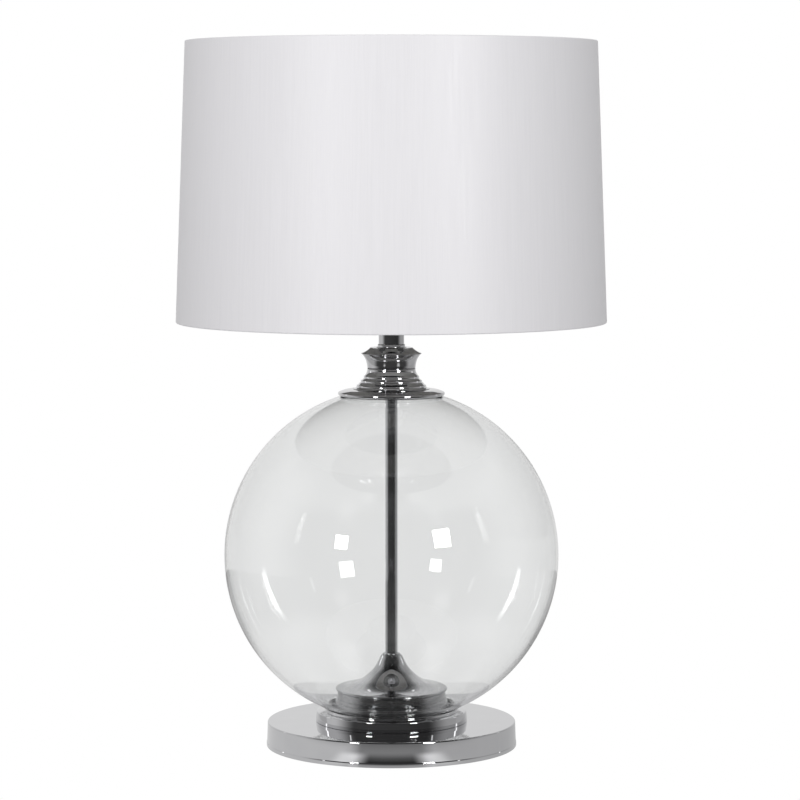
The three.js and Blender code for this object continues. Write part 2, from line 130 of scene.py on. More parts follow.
def make_lights():
    """Two square softboxes in front, and gridded strips at the sides that face the globe's far wall."""
    add_softbox("key_left", -34, 14, 2.6, (0.38, 0.40), 30)
    add_softbox("key_right", 35, 16.5, 2.6, (0.50, 0.52), 30)
    for side in (-1, 1):
        far_wall = (-side * 0.118, 0.084, 0.131)
        add_softbox(f"strip_{side}", side * 115, 14.5, 0.92, (0.07, 0.62), 8, far_wall, 28)
        add_softbox(f"fill_{side}", side * 67, 22, 2.4, (0.09, 0.4), 1.1)


def node(tree, kind, links=None, **values):
    """A shader node with its properties set and its named inputs set or linked."""
    made = tree.nodes.new(kind)
    for key, value in values.items():
        setattr(made, key, value)
    for key, value in (links or {}).items():
        socket = made.inputs[key]
        if isinstance(value, bpy.types.NodeSocket):
            tree.links.new(value, socket)
        else:
            socket.default_value = value
    return made


def math_node(tree, operation, *values):
    return node(tree, "ShaderNodeMath", dict(enumerate(values)), operation=operation).outputs[0]


def remap(tree, value, start, end, low, high):
    """The value moved from one range to another, with smooth ends."""
    links = {"Value": value, "From Min": start, "From Max": end, "To Min": low, "To Max": high}
    return node(tree, "ShaderNodeMapRange", links, interpolation_type="SMOOTHSTEP").outputs[0]


def choose(tree, factor, low, high):
    links = {"Factor": factor, "A": low, "B": high}
    return node(tree, "ShaderNodeMix", links, data_type="FLOAT").outputs["Result"]


def by_ray(tree, mirrored, soft):
    """White where seen, painted greyer where seen straight through the glass, and its own value in
    reflections and soft light.
    """
    path = node(tree, "ShaderNodeLightPath").outputs
    reflected = math_node(tree, "MINIMUM", path["Glossy Depth"], 1.0)
    bounces = math_node(tree, "ADD", path["Glossy Depth"], path["Diffuse Depth"])
    unbounced = math_node(tree, "LESS_THAN", bounces, 0.5)
    through = math_node(tree, "MULTIPLY", path["Is Transmission Ray"], unbounced)
    level = choose(tree, reflected, soft, mirrored)
    # Painted dimming: the studio and floor are greyer where seen straight through the glass.
    level = choose(tree, through, level, SEEN_THROUGH_GLASS)
    return choose(tree, path["Is Camera Ray"], level, SEEN_DIRECTLY), reflected


def front_angle(tree, x, y):
    """Angle round the lamp from the front, -Y, whichever the side."""
    return math_node(tree, "ARCTAN2", math_node(tree, "ABSOLUTE", x), math_node(tree, "MULTIPLY", y, -1.0))


def make_world():
    """A studio that is dark behind the camera and overhead, and light at the sides and the back."""
    world = bpy.data.worlds.new("studio")
    world.use_nodes = True
    tree = world.node_tree
    tree.nodes.clear()
    towards = node(tree, "ShaderNodeTexCoord").outputs["Generated"]
    x, y, z = node(tree, "ShaderNodeSeparateXYZ", {"Vector": towards}).outputs
    angle = front_angle(tree, x, y)
    sides = remap(tree, angle, math.radians(56), math.radians(98), 0.05, 0.56)
    back = remap(tree, angle, math.radians(125), math.radians(170), 0.0, 0.25)
    overhead = remap(tree, z, 0.55, 0.85, 1.0, 0.12)
    left_brighter = math_node(tree, "MULTIPLY_ADD", x, -0.22, 1.0)
    mirrored = math_node(tree, "MULTIPLY", math_node(tree, "ADD", sides, back), overhead)
    mirrored = math_node(tree, "MULTIPLY", mirrored, left_brighter)

    key = node(tree, "ShaderNodeVectorMath", {0: towards, 1: direction(-5, 12)}, operation="DOT_PRODUCT")
    lobe = math_node(tree, "POWER", math_node(tree, "MAXIMUM", key.outputs["Value"], 0.0), 2.5)
    soft = math_node(tree, "MULTIPLY_ADD", lobe, KEY_LEVEL, FILL_LEVEL)
    level, _ = by_ray(tree, mirrored, soft)
    background = node(tree, "ShaderNodeBackground", {"Color": (1, 1, 1, 1), "Strength": level})
    node(tree, "ShaderNodeOutputWorld", {"Surface": background.outputs[0]})
    bpy.context.scene.world = world


def make_floor():
    """A plain white table top that glows evenly where seen and softly lights the lamp from below. In the
    lamp's reflections only, it shows a little gloss and painted light and shade: a painted shadow round the
    base, a painted bright band at the base's rim, painted pools of light to the front left and right, a
    painted brighter left side and a painted darker front.
    """
    mesh = bpy.data.meshes.new("floor")
    shape = bmesh.new()
    bmesh.ops.create_circle(shape, cap_ends=True, radius=1.1, segments=96)
    shape.to_mesh(mesh)
    shape.free()
    floor = bpy.data.objects.new("floor", mesh)
    bpy.context.scene.collection.objects.link(floor)
    paint = bpy.data.materials.new("floor")
    paint.use_nodes = True
    tree = paint.node_tree
    tree.nodes.clear()
    at = node(tree, "ShaderNodeTexCoord").outputs["Object"]
    x, y, _ = node(tree, "ShaderNodeSeparateXYZ", {"Vector": at}).outputs
    angle = front_angle(tree, x, y)
    flat = node(tree, "ShaderNodeCombineXYZ", {"X": x, "Y": y}).outputs[0]
    radius = node(tree, "ShaderNodeVectorMath", {0: flat}, operation="LENGTH").outputs["Value"]
    # Painted light and shade seen only in reflections: a painted bright band just round the base's rim, and a
    # painted shadow that darkens the floor in front of the base.
    lip = remap(tree, radius, 0.128, 0.142, 0.45, 0.0)
    painted_shadow_and_rim_light = math_node(tree, "ADD", remap(tree, radius, 0.165, 0.25, 0.02, 0.3), lip)
    # Painted light to the sides, brighter on the left than on the right.
    sides = remap(tree, x, -0.15, 0.15, 0.72, 0.56)
    near = choose(tree, remap(tree, angle, math.radians(20), math.radians(34), 0.0, 1.0), painted_shadow_and_rim_light, sides)
    # Painted pools of light to the front left and right of the base.
    inner = remap(tree, angle, math.radians(13), math.radians(25), 0.0, 0.8)
    inner = math_node(tree, "MULTIPLY", inner, remap(tree, radius, 0.2, 0.25, 1.0, 0.0))
    inner = math_node(tree, "MULTIPLY", inner, remap(tree, radius, 0.125, 0.15, 0.25, 1.0))
    outer = remap(tree, angle, math.radians(22), math.radians(40), 1.0, 0.0)
    near = math_node(tree, "MULTIPLY_ADD", inner, outer, near)
    # Further out, painted shade keeps the front dark and lets the sides lighten.
    far = remap(tree, angle, math.radians(68), math.radians(98), 0.06, 0.5)
    mirrored = choose(tree, remap(tree, radius, 0.24, 0.42, 0.0, 1.0), near, far)
    # In soft light the floor glows at a fixed level, which lights the lamp from below.
    level, reflected = by_ray(tree, mirrored, 0.3)
    lit = node(tree, "ShaderNodeEmission", {"Color": (1, 1, 1, 1), "Strength": level})
    gloss = node(tree, "ShaderNodeBsdfGlossy", {"Color": (1, 1, 1, 1), "Roughness": 0.2})
    share = math_node(tree, "MULTIPLY", reflected, 0.025)
    table = node(tree, "ShaderNodeMixShader", {0: share, 1: lit.outputs[0], 2: gloss.outputs[0]})
    node(tree, "ShaderNodeOutputMaterial", {"Surface": table.outputs[0]})
    mesh.materials.append(paint)
    bpy.context.scene.view_settings.view_transform = "Standard"


make_camera()
make_lights()
make_world()
make_floor()


# ---------------------------------------------------------------- materials


def noise(tree, vector, scale, detail=3.0, roughness=0.5):
    links = {"Vector": vector, "Scale": scale, "Detail": detail, "Roughness": roughness}
    return node(tree, "ShaderNodeTexNoise", links).outputs["Fac"]


def position(tree, scale=(1, 1, 1)):
    """The piece's own coordinates, in metres, stretched by scale."""
    at = node(tree, "ShaderNodeTexCoord").outputs["Object"]
    return node(tree, "ShaderNodeMapping", {"Vector": at, "Scale": scale}).outputs[0]


def blend_colours(tree, factor, low, high):
    links = {"Factor": factor, "A": (*low, 1), "B": (*high, 1)}
    return node(tree, "ShaderNodeMix", links, data_type="RGBA").outputs["Result"]


def bump(tree, shader, height, strength, distance):
    links = {"Height": height, "Strength": strength, "Distance": distance}
    tree.links.new(node(tree, "ShaderNodeBump", links).outputs[0], shader.inputs["Normal"])


def principled(name, **sockets):
    """A material with a Principled shader whose plain sockets are set by name."""
    paint = bpy.data.materials.new(name)
    paint.use_nodes = True
    shader = paint.node_tree.nodes["Principled BSDF"]
    for key, value in sockets.items():
        shader.inputs[key.replace("_", " ")].default_value = value
    return paint, paint.node_tree, shader


def mottled(name, low, high, scale, rough, texture_bump=(0.0, 0.0), **sockets):
    """A finish whose colour drifts between two tones and whose roughness drifts between two values."""
    paint, tree, shader = principled(name, **sockets)
    grain = noise(tree, position(tree), scale)
    tree.links.new(blend_colours(tree, grain, low, high), shader.inputs["Base Color"])
    drift = noise(tree, position(tree), scale * 2.3, 4.0)
    tree.links.new(remap(tree, drift, 0.3, 0.7, *rough), shader.inputs["Roughness"])
    strength, distance = texture_bump
    if strength:
        bump(tree, shader, noise(tree, position(tree), scale * 4, 4.0), strength, distance)
    return paint


def make_chrome(name, low, high):
    """Plated metal: nearly a mirror, with a faint haze and polishing marks that run round the axis."""
    paint, tree, shader = principled(name, Metallic=1.0)
    haze = noise(tree, position(tree), 40.0, 4.0)
    tree.links.new(blend_colours(tree, haze, low, high), shader.inputs["Base Color"])
    rings = noise(tree, position(tree, (1, 1, 60)), 30.0, 2.0)
    marks = math_node(tree, "MULTIPLY", haze, rings)
    tree.links.new(remap(tree, marks, 0.1, 0.5, 0.015, 0.07), shader.inputs["Roughness"])
    bump(tree, shader, noise(tree, position(tree), 55.0, 1.0), 0.02, 0.0004)
    return paint


def make_glass():
    """Clear blown glass with a barely uneven surface."""
    paint, tree, shader = principled("clear_glass", Transmission_Weight=1.0, IOR=1.5)
    drift = noise(tree, position(tree), 9.0, 1.0)
    tree.links.new(blend_colours(tree, drift, GLASS_LOW, GLASS_HIGH), shader.inputs["Base Color"])
    tree.links.new(remap(tree, drift, 0.3, 0.7, 0.0, 0.004), shader.inputs["Roughness"])
    bump(tree, shader, noise(tree, position(tree), 14.0, 0.0), 0.12, 0.002)
    return paint


def make_satin():
    """White satin: upright warp threads over a finer weft, with a few longer slubs and a soft sheen."""
    paint, tree, shader = principled("shade_fabric", Sheen_Weight=0.15, Sheen_Roughness=0.4)
    at = node(tree, "ShaderNodeSeparateXYZ", {"Vector": position(tree)})
    x, y, z = at.outputs
    around = math_node(tree, "MULTIPLY", math_node(tree, "ARCTAN2", x, y), 0.195)
    cloth = node(tree, "ShaderNodeCombineXYZ", {"X": around, "Y": z, "Z": 0.0}).outputs[0]

    def threads(scale, detail):
        stretched = node(tree, "ShaderNodeMapping", {"Vector": cloth, "Scale": scale}).outputs[0]
        return noise(tree, stretched, 1.0, detail)

    warp = threads((2200, 35, 1), 2.0)
    slub = threads((420, 9, 1), 2.0)
    weft = threads((60, 2600, 1), 1.0)
    half_warp = math_node(tree, "MULTIPLY", warp, 0.5)
    half_slub = math_node(tree, "MULTIPLY", slub, 0.5)
    tone = math_node(tree, "ADD", half_warp, half_slub)
    colour = blend_colours(tree, tone, (0.80, 0.79, 0.815), (0.90, 0.89, 0.915))
    tree.links.new(colour, shader.inputs["Base Color"])
    tree.links.new(remap(tree, slub, 0.3, 0.7, 0.42, 0.55), shader.inputs["Roughness"])
    height = math_node(tree, "ADD", warp, math_node(tree, "MULTIPLY", weft, 0.6))
    bump(tree, shader, math_node(tree, "ADD", height, slub), 0.25, 0.0002)
    return paint


def make_felt():
    paint, tree, shader = principled("felt", Sheen_Weight=0.4, Roughness=0.95)
    fibres = noise(tree, position(tree), 900.0, 6.0, 0.7)
    colour = blend_colours(tree, fibres, (0.012, 0.012, 0.014), (0.05, 0.05, 0.056))
    tree.links.new(colour, shader.inputs["Base Color"])
    bump(tree, shader, fibres, 0.8, 0.0006)
    return paint


MATERIALS = {
    "chrome": make_chrome("chrome", (0.58, 0.58, 0.595), (0.64, 0.64, 0.65)),
    "cast_iron": mottled(
        "cast_iron", (0.05, 0.05, 0.055), (0.11, 0.11, 0.11),
        160, (0.55, 0.8), (0.8, 0.001), Metallic=0.6,
    ),
    "steel": mottled(
        "steel", (0.5, 0.51, 0.53), (0.62, 0.62, 0.63),
        90, (0.28, 0.42), (0.1, 0.0002), Metallic=1.0,
    ),
    "nickel": mottled(
        "nickel", (0.69, 0.69, 0.67), (0.75, 0.75, 0.73),
        120, (0.18, 0.3), (0.05, 0.0002), Metallic=1.0,
    ),
    "solder": mottled(
        "solder", (0.45, 0.45, 0.46), (0.62, 0.62, 0.63),
        400, (0.35, 0.55), (0.4, 0.0003), Metallic=1.0,
    ),
    "brass": mottled(
        "brass", (0.62, 0.47, 0.21), (0.75, 0.58, 0.3),
        120, (0.2, 0.34), (0.05, 0.0002), Metallic=1.0,
    ),
    "rubber": mottled(
        "rubber", (0.015, 0.015, 0.017), (0.028, 0.028, 0.031),
        200, (0.62, 0.8), (0.3, 0.0003),
    ),
    "felt": make_felt(),
    "clear_glass": make_glass(),
    "shade_fabric": make_satin(),
    "shade_lining": mottled(
        "shade_lining", (0.9, 0.89, 0.87), (0.94, 0.93, 0.91),
        30, (0.38, 0.5), (0.08, 0.0003),
    ),
    "painted_wire": mottled(
        "painted_wire", (0.82, 0.82, 0.8), (0.88, 0.88, 0.87),
        60, (0.3, 0.42), (0.15, 0.0002),
    ),
    "white_plastic": mottled(
        "white_plastic", (0.83, 0.82, 0.79), (0.87, 0.86, 0.84),
        50, (0.28, 0.4), (0.06, 0.0002),
    ),
    "black_plastic": mottled(
        "black_plastic", (0.01, 0.01, 0.01), (0.022, 0.022, 0.022),
        90, (0.25, 0.4), (0.1, 0.0002),
    ),
    "ceramic": mottled("ceramic", (0.76, 0.73, 0.68), (0.84, 0.82, 0.77), 120, (0.15, 0.3), (0.1, 0.0003)),
    "opal": mottled("opal", (0.88, 0.87, 0.85), (0.93, 0.92, 0.9), 25, (0.3, 0.4), (0.03, 0.0002)),
}


# ---------------------------------------------------------------- mesh helpers


def arc(centre_r, centre_z, radius, start, end, steps):
    """Outline points on a circle, from one angle to another in degrees."""
    angles = [math.radians(start + (end - start) * i / steps) for i in range(steps + 1)]
    return [(centre_r + radius * math.cos(a), centre_z + radius * math.sin(a)) for a in angles]


def smooth(points, steps=8):
    """A Catmull-Rom curve through outline points, with steps between each two."""
    ends = [2 * Vector(points[0]) - Vector(points[1]), *map(Vector, points)]
    ends.append(2 * Vector(points[-1]) - Vector(points[-2]))
    made = []
    for before, start, end, after in zip(ends, ends[1:], ends[2:], ends[3:]):
        for i in range(steps):
            t = i / steps
            made.append(
                0.5 * (2 * start + (end - before) * t + (2 * before - 5 * start + 4 * end - after) * t**2
                       + (3 * start - before - 3 * end + after) * t**3)
            )
    return [tuple(p) for p in made] + [tuple(points[-1])]


def cove(start, end, steps=8):
    """A hollow curve that leaves start going straight down and flares out to end."""
    (r0, z0), (r1, z1) = start, end
    bend_r, bend_z = r0 + 0.1 * (r1 - r0), z1 + 0.35 * (z0 - z1)
    made = []
    for i in range(1, steps + 1):
        t = i / steps
        a, b, c = (1 - t) ** 2, 2 * t * (1 - t), t**2
        made.append((a * r0 + b * bend_r + c * r1, a * z0 + b * bend_z + c * z1))
    return made


def rounded(corners, steps=FILLET_STEPS):
    """A closed outline from (radius, height, fillet) corners, with each corner rounded by its fillet."""
    made = []
    for i, (r, z, fillet) in enumerate(corners):
        corner = Vector((r, z))
        back = Vector(corners[i - 1][:2]) - corner
        ahead = Vector(corners[(i + 1) % len(corners)][:2]) - corner
        half = back.angle(ahead) / 2
        if not fillet or half > math.radians(89):
            made.append((r, z))
            continue
        cut = min(fillet / math.tan(half), 0.48 * min(back.length, ahead.length))
        centre = corner + (back.normalized() + ahead.normalized()).normalized() * cut / math.cos(half)
        start = corner + back.normalized() * cut - centre
        end = corner + ahead.normalized() * cut - centre
        first = math.atan2(start.y, start.x)
        turn = (math.atan2(end.y, end.x) - first + math.pi) % (2 * math.pi) - math.pi
        made += arc(centre.x, centre.y, start.length, math.degrees(first), math.degrees(first + turn), steps)
    return made


def finish_piece(name, mesh, body, slot, replaces=()):
    piece = bpy.data.objects.new(name, mesh)
    bpy.context.scene.collection.objects.link(piece)
    mesh.materials.append(MATERIALS[slot])
    mesh.shade_smooth()
    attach(piece, body)
    if replaces:
        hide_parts(*replaces)
    return piece


def weigh_normals(piece):
    """Keeps flat faces flat in a mirror finish where they run into small rounded edges."""
    normals = piece.modifiers.new("normals", "WEIGHTED_NORMAL")
    normals.weight = 60
    normals.keep_sharp = True


def turned_mesh(name, outline, sides=SIDES, shift=None):
    """A mesh turned about Z from a closed outline. shift(angle, r, z) moves a point, in millimetres."""
    shape = bmesh.new()
    rows = []
    for i in range(sides):
        angle = 2 * math.pi * i / sides
        row = []
        for r, z in outline:
            if shift:
                r, z = shift(angle, r, z)
            row.append(shape.verts.new((r * math.cos(angle) * MM, r * math.sin(angle) * MM, z * MM)))
        rows.append(row)
    for i, row in enumerate(rows):
        after = rows[(i + 1) % sides]
        for j in range(len(row)):
            k = (j + 1) % len(row)
            shape.faces.new((row[j], row[k], after[k], after[j]))
    bmesh.ops.remove_doubles(shape, verts=shape.verts, dist=1e-7)
    bmesh.ops.recalc_face_normals(shape, faces=shape.faces)
    mesh = bpy.data.meshes.new(name)
    shape.to_mesh(mesh)
    shape.free()
    return mesh


def turned(name, outline, body, slot, replaces=(), sides=SIDES, shift=None):
    piece = finish_piece(name, turned_mesh(name, outline, sides, shift), body, slot, replaces)
    weigh_normals(piece)
    return piece


def tube_mesh(name, path, radius, sides=16, closed=False):
    """A round tube along points, in millimetres."""
    points = [Vector(p) for p in path]
    count = len(points)
    shape = bmesh.new()
    rings = []
    for i, at in enumerate(points):
        before = points[i - 1] if i or closed else at
        after = points[(i + 1) % count] if i < count - 1 or closed else at
        along = (after - before).normalized()
        across = along.cross(Vector((0, 0, 1))).normalized()
        up = across.cross(along)
        ring = []
        for j in range(sides):
            a = 2 * math.pi * j / sides
            ring.append(shape.verts.new((at + (across * math.cos(a) + up * math.sin(a)) * radius) * MM))
        rings.append(ring)
    for i in range(count if closed else count - 1):
        ring, after = rings[i], rings[(i + 1) % count]
        for j in range(sides):
            k = (j + 1) % sides
            shape.faces.new((ring[j], ring[k], after[k], after[j]))
    if not closed:
        shape.faces.new(rings[0])
        shape.faces.new(rings[-1])
    bmesh.ops.recalc_face_normals(shape, faces=shape.faces)
    mesh = bpy.data.meshes.new(name)
    shape.to_mesh(mesh)
    shape.free()
    return mesh


def finish_cad_nodes():
    """Every CAD node gets the procedural finish of its slot; the ones that are replaced stay hidden."""
    slots = {part["node"]: part["material_slot"] for part in frame["record"]["subparts"]}
    for name, piece in frame["nodes"].items():
        for held in piece.material_slots:
            held.material = MATERIALS[slots[name]]


# ---------------------------------------------------------------- base


def make_base():
    rim_r, rim_z, top_z = span("base_pan")
    top_r = rim_r - 1.1
    hole_r = 5.3
    sheet = 1.5
    pan = turned(
        "base_pan_shell",
        rounded([
            (rim_r - 1.2, rim_z, 0.2), (rim_r, rim_z, 0.5), (rim_r, rim_z + 3.4, 0.4),
            (top_r + 0.75, rim_z + 4.2, 0.6), (top_r + 0.5, rim_z + 9, 8.0),
            (top_r, top_z, 1.3), (hole_r, top_z, 0.3),
            (hole_r, top_z - sheet, 0), (top_r - sheet - 0.6, top_z - sheet, 0.8),
            (top_r - sheet, rim_z + 8.4, 0), (rim_r - sheet - 0.2, rim_z + 2.9, 0),
        ]),
        "lamp", "chrome", ["base_pan"],
    )
    low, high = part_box("cord_grommet")
    middle = (low + high) / 2
    drill = bpy.data.objects.new(
        "inlet_drill",
        tube_mesh("inlet_drill", [(0, 105, middle.z / MM), (0, 125, middle.z / MM)], 4.9, 48),
    )
    bpy.context.scene.collection.objects.link(drill)
    hole = pan.modifiers.new("inlet", "BOOLEAN")
    hole.operation = "DIFFERENCE"
    hole.object = drill
    pan.modifiers.move(len(pan.modifiers) - 1, 0)
    apply_modifier(pan, "inlet")
    bpy.data.objects.remove(drill)

    felt_r, felt_z, felt_top = span("foot_felt")
    turned(
        "foot_felt_ring",
        rounded([(25, felt_z, 0.4), (felt_r, felt_z, 0.6), (felt_r, felt_top, 0.3), (25, felt_top, 0.3)]),
        "lamp", "felt", ["foot_felt"],
    )


def apply_modifier(piece, name):
    """Bakes one modifier into the piece's mesh, which keeps its materials."""
    others = [m for m in piece.modifiers if m.name != name]
    shown = [m.show_viewport for m in others]
    for m in others:
        m.show_viewport = False
    bpy.context.view_layer.update()
    evaluated = piece.evaluated_get(bpy.context.evaluated_depsgraph_get())
    mesh = bpy.data.meshes.new_from_object(evaluated)
    piece.modifiers.remove(piece.modifiers[name])
    for m, state in zip(others, shown):
        m.show_viewport = state
    piece.data = mesh


def make_grommet():
    """The rubber ring that the cord comes in by, turned about Y at the back of the base."""
    low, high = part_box("cord_grommet")
    flange_r, depth = (high.x - low.x) / 2 / MM, (high.y - low.y) / MM
    mesh = turned_mesh("cord_inlet_grommet", rounded([
        (3.3, 0, 0.5), (flange_r - 0.8, 0, 0.4), (flange_r - 0.8, 1.7, 0.2), (4.6, 1.7, 0.1),
        (4.6, depth - 2.0, 0.1), (flange_r, depth - 2.0, 0.4),
        (flange_r - 0.3, depth, 1.1), (3.3, depth, 0.7),
    ]), FINE_SIDES)
    place = Matrix.Translation((0, low.y, (low.z + high.z) / 2)) @ Matrix.Rotation(-math.pi / 2, 4, "X")
    mesh.transform(place)
    weigh_normals(finish_piece("cord_inlet_grommet", mesh, "lamp", "rubber", ["cord_grommet"]))


# ---------------------------------------------------------------- plinth, globe and what is inside it


def globe_height(r, side):
    """Height of the globe's outer face at a radius, below (-1) or above (1) its middle."""
    return GLOBE_Z + side * math.sqrt(GLOBE_R**2 - r**2)


def make_plinth():
    """Straight-walled dish whose low lip stands round the rubber ring that the globe rests on."""
    r, bottom, lip_top = span("plinth")
    top = lip_top - PLINTH_LIP_HEIGHT
    turned(
        "plinth_dish",
        rounded([
            (ROD_HOLE_R, bottom - 0.25, 0), (r, bottom - 0.25, 0.5),
            (r, bottom + 3.0, 4.0), (r - 0.9, top - 1.0, 0.9),
            (r - 3.2, top - 0.5, 1.0), (63.1, top - 0.1, 0.5), (62.8, lip_top, 0.5), (61.0, lip_top, 0.3),
            (61.0, top, 0.1), (58.2, top, 0.4), (57.4, top - 0.9, 0.4),
            (57.4, top - 6.7, 0.4), (ROD_HOLE_R, top - 6.7, 0),
        ]),
        "lamp", "chrome", ["plinth"],
    )
    inner, outer = 58.6, span("lower_gasket")[0]
    turned(
        "lower_gasket_ring",
        rounded([
            (inner, top + 0.05, 0.1), (outer, top + 0.05, 0.2), (outer, globe_height(outer, -1) - 0.05, 0.2),
            (inner, globe_height(inner, -1) - 0.05, 0.1),
        ]),
        "lamp", "rubber", ["lower_gasket"], FINE_SIDES,
    )


def make_globe():
    """Blown sphere with fire-polished lips at both holes."""
    middle_r = GLOBE_R - GLASS / 2
    lower = -math.degrees(math.acos(LOWER_HOLE_R / middle_r))
    upper = math.degrees(math.acos(UPPER_HOLE_R / middle_r))

    def lip(angle, start):
        a = math.radians(angle)
        lip_r, lip_z = middle_r * math.cos(a), GLOBE_Z + middle_r * math.sin(a)
        return arc(lip_r, lip_z, GLASS / 2, start, start + 180, 8)[1:-1]

    outline = arc(0, GLOBE_Z, GLOBE_R, lower, upper, 96)
    outline += lip(upper, upper)
    outline += arc(0, GLOBE_Z, GLOBE_R - GLASS, upper, lower, 96)
    outline += lip(lower, lower + 180)
    finish_piece("globe", turned_mesh("globe", outline, 256), "lamp", "clear_glass", ["glass_globe"])


def make_seat():
    """The stepped, slightly conical ring that the globe is centred on."""
    foot_r, bottom, top = span("seat_ring")
    corners = [(ROD_HOLE_R, top, 0)]
    r, z = 50.2, top
    for height in (6.4, 3.4, 3.6, 2.6, 2.7, 2.4):
        flare = 0.2 * height
        corners += [(r, z, 0.35), (r + flare, z - height + 0.3, 0.3), (r + flare - 0.3, z - height, 0.1)]
        r, z = r + flare + 0.4, z - height
    corners += [
        (foot_r, z - 1, 0.5), (foot_r, bottom - 0.25, 0.3),
        (47, bottom - 0.25, 0), (47, top - 3, 0), (ROD_HOLE_R, top - 3, 0),
    ]
    turned("seat_ring_tiers", rounded(corners), "lamp", "chrome", ["seat_ring"])


def make_bell():
    """Trumpet bell: a thin round-edged disc that sweeps up to a narrow lip with a small collar on it."""
    disc_r, bottom, top = span("stem_bell")
    edge = bottom + 1.15
    sweep = smooth([
        (50.6, 54.75), (44.5, 55.4), (38.6, 57.0), (31.8, 60.2),
        (24.6, 65.0), (18.6, 70.4), (13.9, 76.8), (10.9, 82.8),
    ])
    outline = arc(disc_r - 1.15, edge, 1.15, -90, 75, 10) + sweep
    outline += [(10.3, 84.2)] + arc(9.2, top - 0.6, 0.6, 20, 90, 5) + [(6.0, top), (6.0, top - 1.4)]
    outline += [(8.4, 81.6), (11.6, 75.2), (16.6, 68.6), (23.0, 63.2)]
    outline += [(31.0, 58.6), (40.0, 55.2), (46.0, bottom)]
    turned("stem_bell_disc", outline, "lamp", "chrome", ["stem_bell"])

    r, bottom, top = span("bell_collar")
    turned(
        "stem_collar",
        rounded([(6.0, bottom - 0.25, 0), (r + 0.3, bottom - 0.25, 0.6), (r, top, 0.7), (6.0, top, 0.2)]),
        "lamp", "chrome", ["bell_collar"], FINE_SIDES,
    )
    r, bottom, top = span("stem_tube")
    turned(
        "stem",
        rounded([(r - 0.5, bottom, 0), (r, bottom, 0.2), (r, top, 0.2), (r - 0.5, top, 0)]),
        "lamp", "chrome", ["stem_tube"], FINE_SIDES,
    )


# ---------------------------------------------------------------- cap and neck


def make_cap():
    r, bottom, top = span("cap_flange")
    roll = 1.9
    outline = arc(r - roll, bottom + roll, roll, -90, 62, 12)
    outline += [(44.0, top - 0.7), (37.0, top + 0.15), (ROD_HOLE_R, top + 0.15), (ROD_HOLE_R, top - 1.9)]
    outline += [(r - 2.2, top - 1.9), (r - 2.2, bottom + 0.1)]
    turned("cap_flange_dish", outline, "lamp", "chrome", ["cap_flange"])
    inner, outer = 41.0, 47.2
    turned(
        "upper_gasket_ring",
        [
            (inner, globe_height(inner, 1) + 0.05), (outer, globe_height(outer, 1) + 0.05),
            (outer, top - 2), (inner, top - 2),
        ],
        "lamp", "rubber", ["upper_gasket"], FINE_SIDES,
    )

    r, bottom, waist_z = span("cap_vase")
    outline = [(22.45, waist_z), (22.5, waist_z - 1.5)]
    for edge in ((25.8, 347.3), (28.6, 343.5), (32.4, 339.0), (r + 1.0, bottom + 0.1)):
        outline += cove(outline[-1], edge)
        outline.append((edge[0] - 0.15, edge[1] - 0.9))
    outline[-1] = (33.0, bottom - 0.1)
    outline += [(33.0, 337.0), (29.7, 341.2), (26.3, 342.4), (25.2, 345.0), (21.6, 351.0)]
    outline += [(20.9, waist_z - 1.5), (ROD_HOLE_R, waist_z - 1.5), (ROD_HOLE_R, waist_z)]
    turned("cap_vase_steps", outline, "lamp", "chrome", ["cap_vase"])

    tip_r, bottom, top = span("cap_crown")
    flare = smooth([
        (22.45, bottom - 0.25), (22.9, 358.6), (24.0, 362.6), (25.9, 366.0), (tip_r - 0.35, 368.35),
    ])
    hollow = smooth([(tip_r - 0.3, 368.75), (25.0, 370.0), (22.2, 371.7), (20.2, 373.4)])
    outline = flare + [(tip_r, 368.55)] + hollow + arc(19.3, top - 0.35, 0.35, 40, 90, 4)
    outline += [(14.2, top), (13.9, top - 0.4), (ROD_HOLE_R, top - 0.4), (ROD_HOLE_R, top - 1.6)]
    outline += [(18.2, top - 1.6), (19.8, 369.8), (24.2, 367.4)]
    outline += [(22.4, 363.0), (21.2, 358.0), (20.9, bottom - 0.25)]
    turned("cap_crown_flare", outline, "lamp", "chrome", ["cap_crown"])


def make_neck():
    r, bottom, top = span("neck_collar")
    turned(
        "neck_collar_ring",
        rounded([
            (ROD_HOLE_R, bottom - 0.25, 0), (r, bottom - 0.25, 0.6), (r - 0.35, top, 0.9),
            (ROD_HOLE_R, top, 0),
        ]),
        "lamp", "chrome", ["neck_collar"], FINE_SIDES,
    )
    r, bottom, top = span("neck_tube")
    turned(
        "neck",
        rounded([(r - 0.9, bottom - 0.25, 0), (r, bottom - 0.25, 0.2), (r, top, 0.3), (r - 0.9, top, 0.1)]),
        "lamp", "chrome", ["neck_tube"], FINE_SIDES,
    )


# ---------------------------------------------------------------- lampholder and switch


def screw(pitch, depth, bottom, top, near):
    """A shift that cuts a rounded thread of the given depth into a wall near a radius."""

    def shift(angle, r, z):
        if abs(r - near) > 0.05 or not bottom <= z <= top:
            return r, z
        fade = min(1, (z - bottom) / pitch, (top - z) / pitch)
        wave = 0.5 - 0.5 * math.cos(2 * math.pi * (z / pitch - angle / (2 * math.pi)))
        return r - depth * fade * wave, z

    return shift


def stack(r, bottom, top, count):
    """Evenly spaced outline points up a straight wall, fine enough to carry a thread."""
    return [(r, bottom + (top - bottom) * i / count) for i in range(count + 1)]


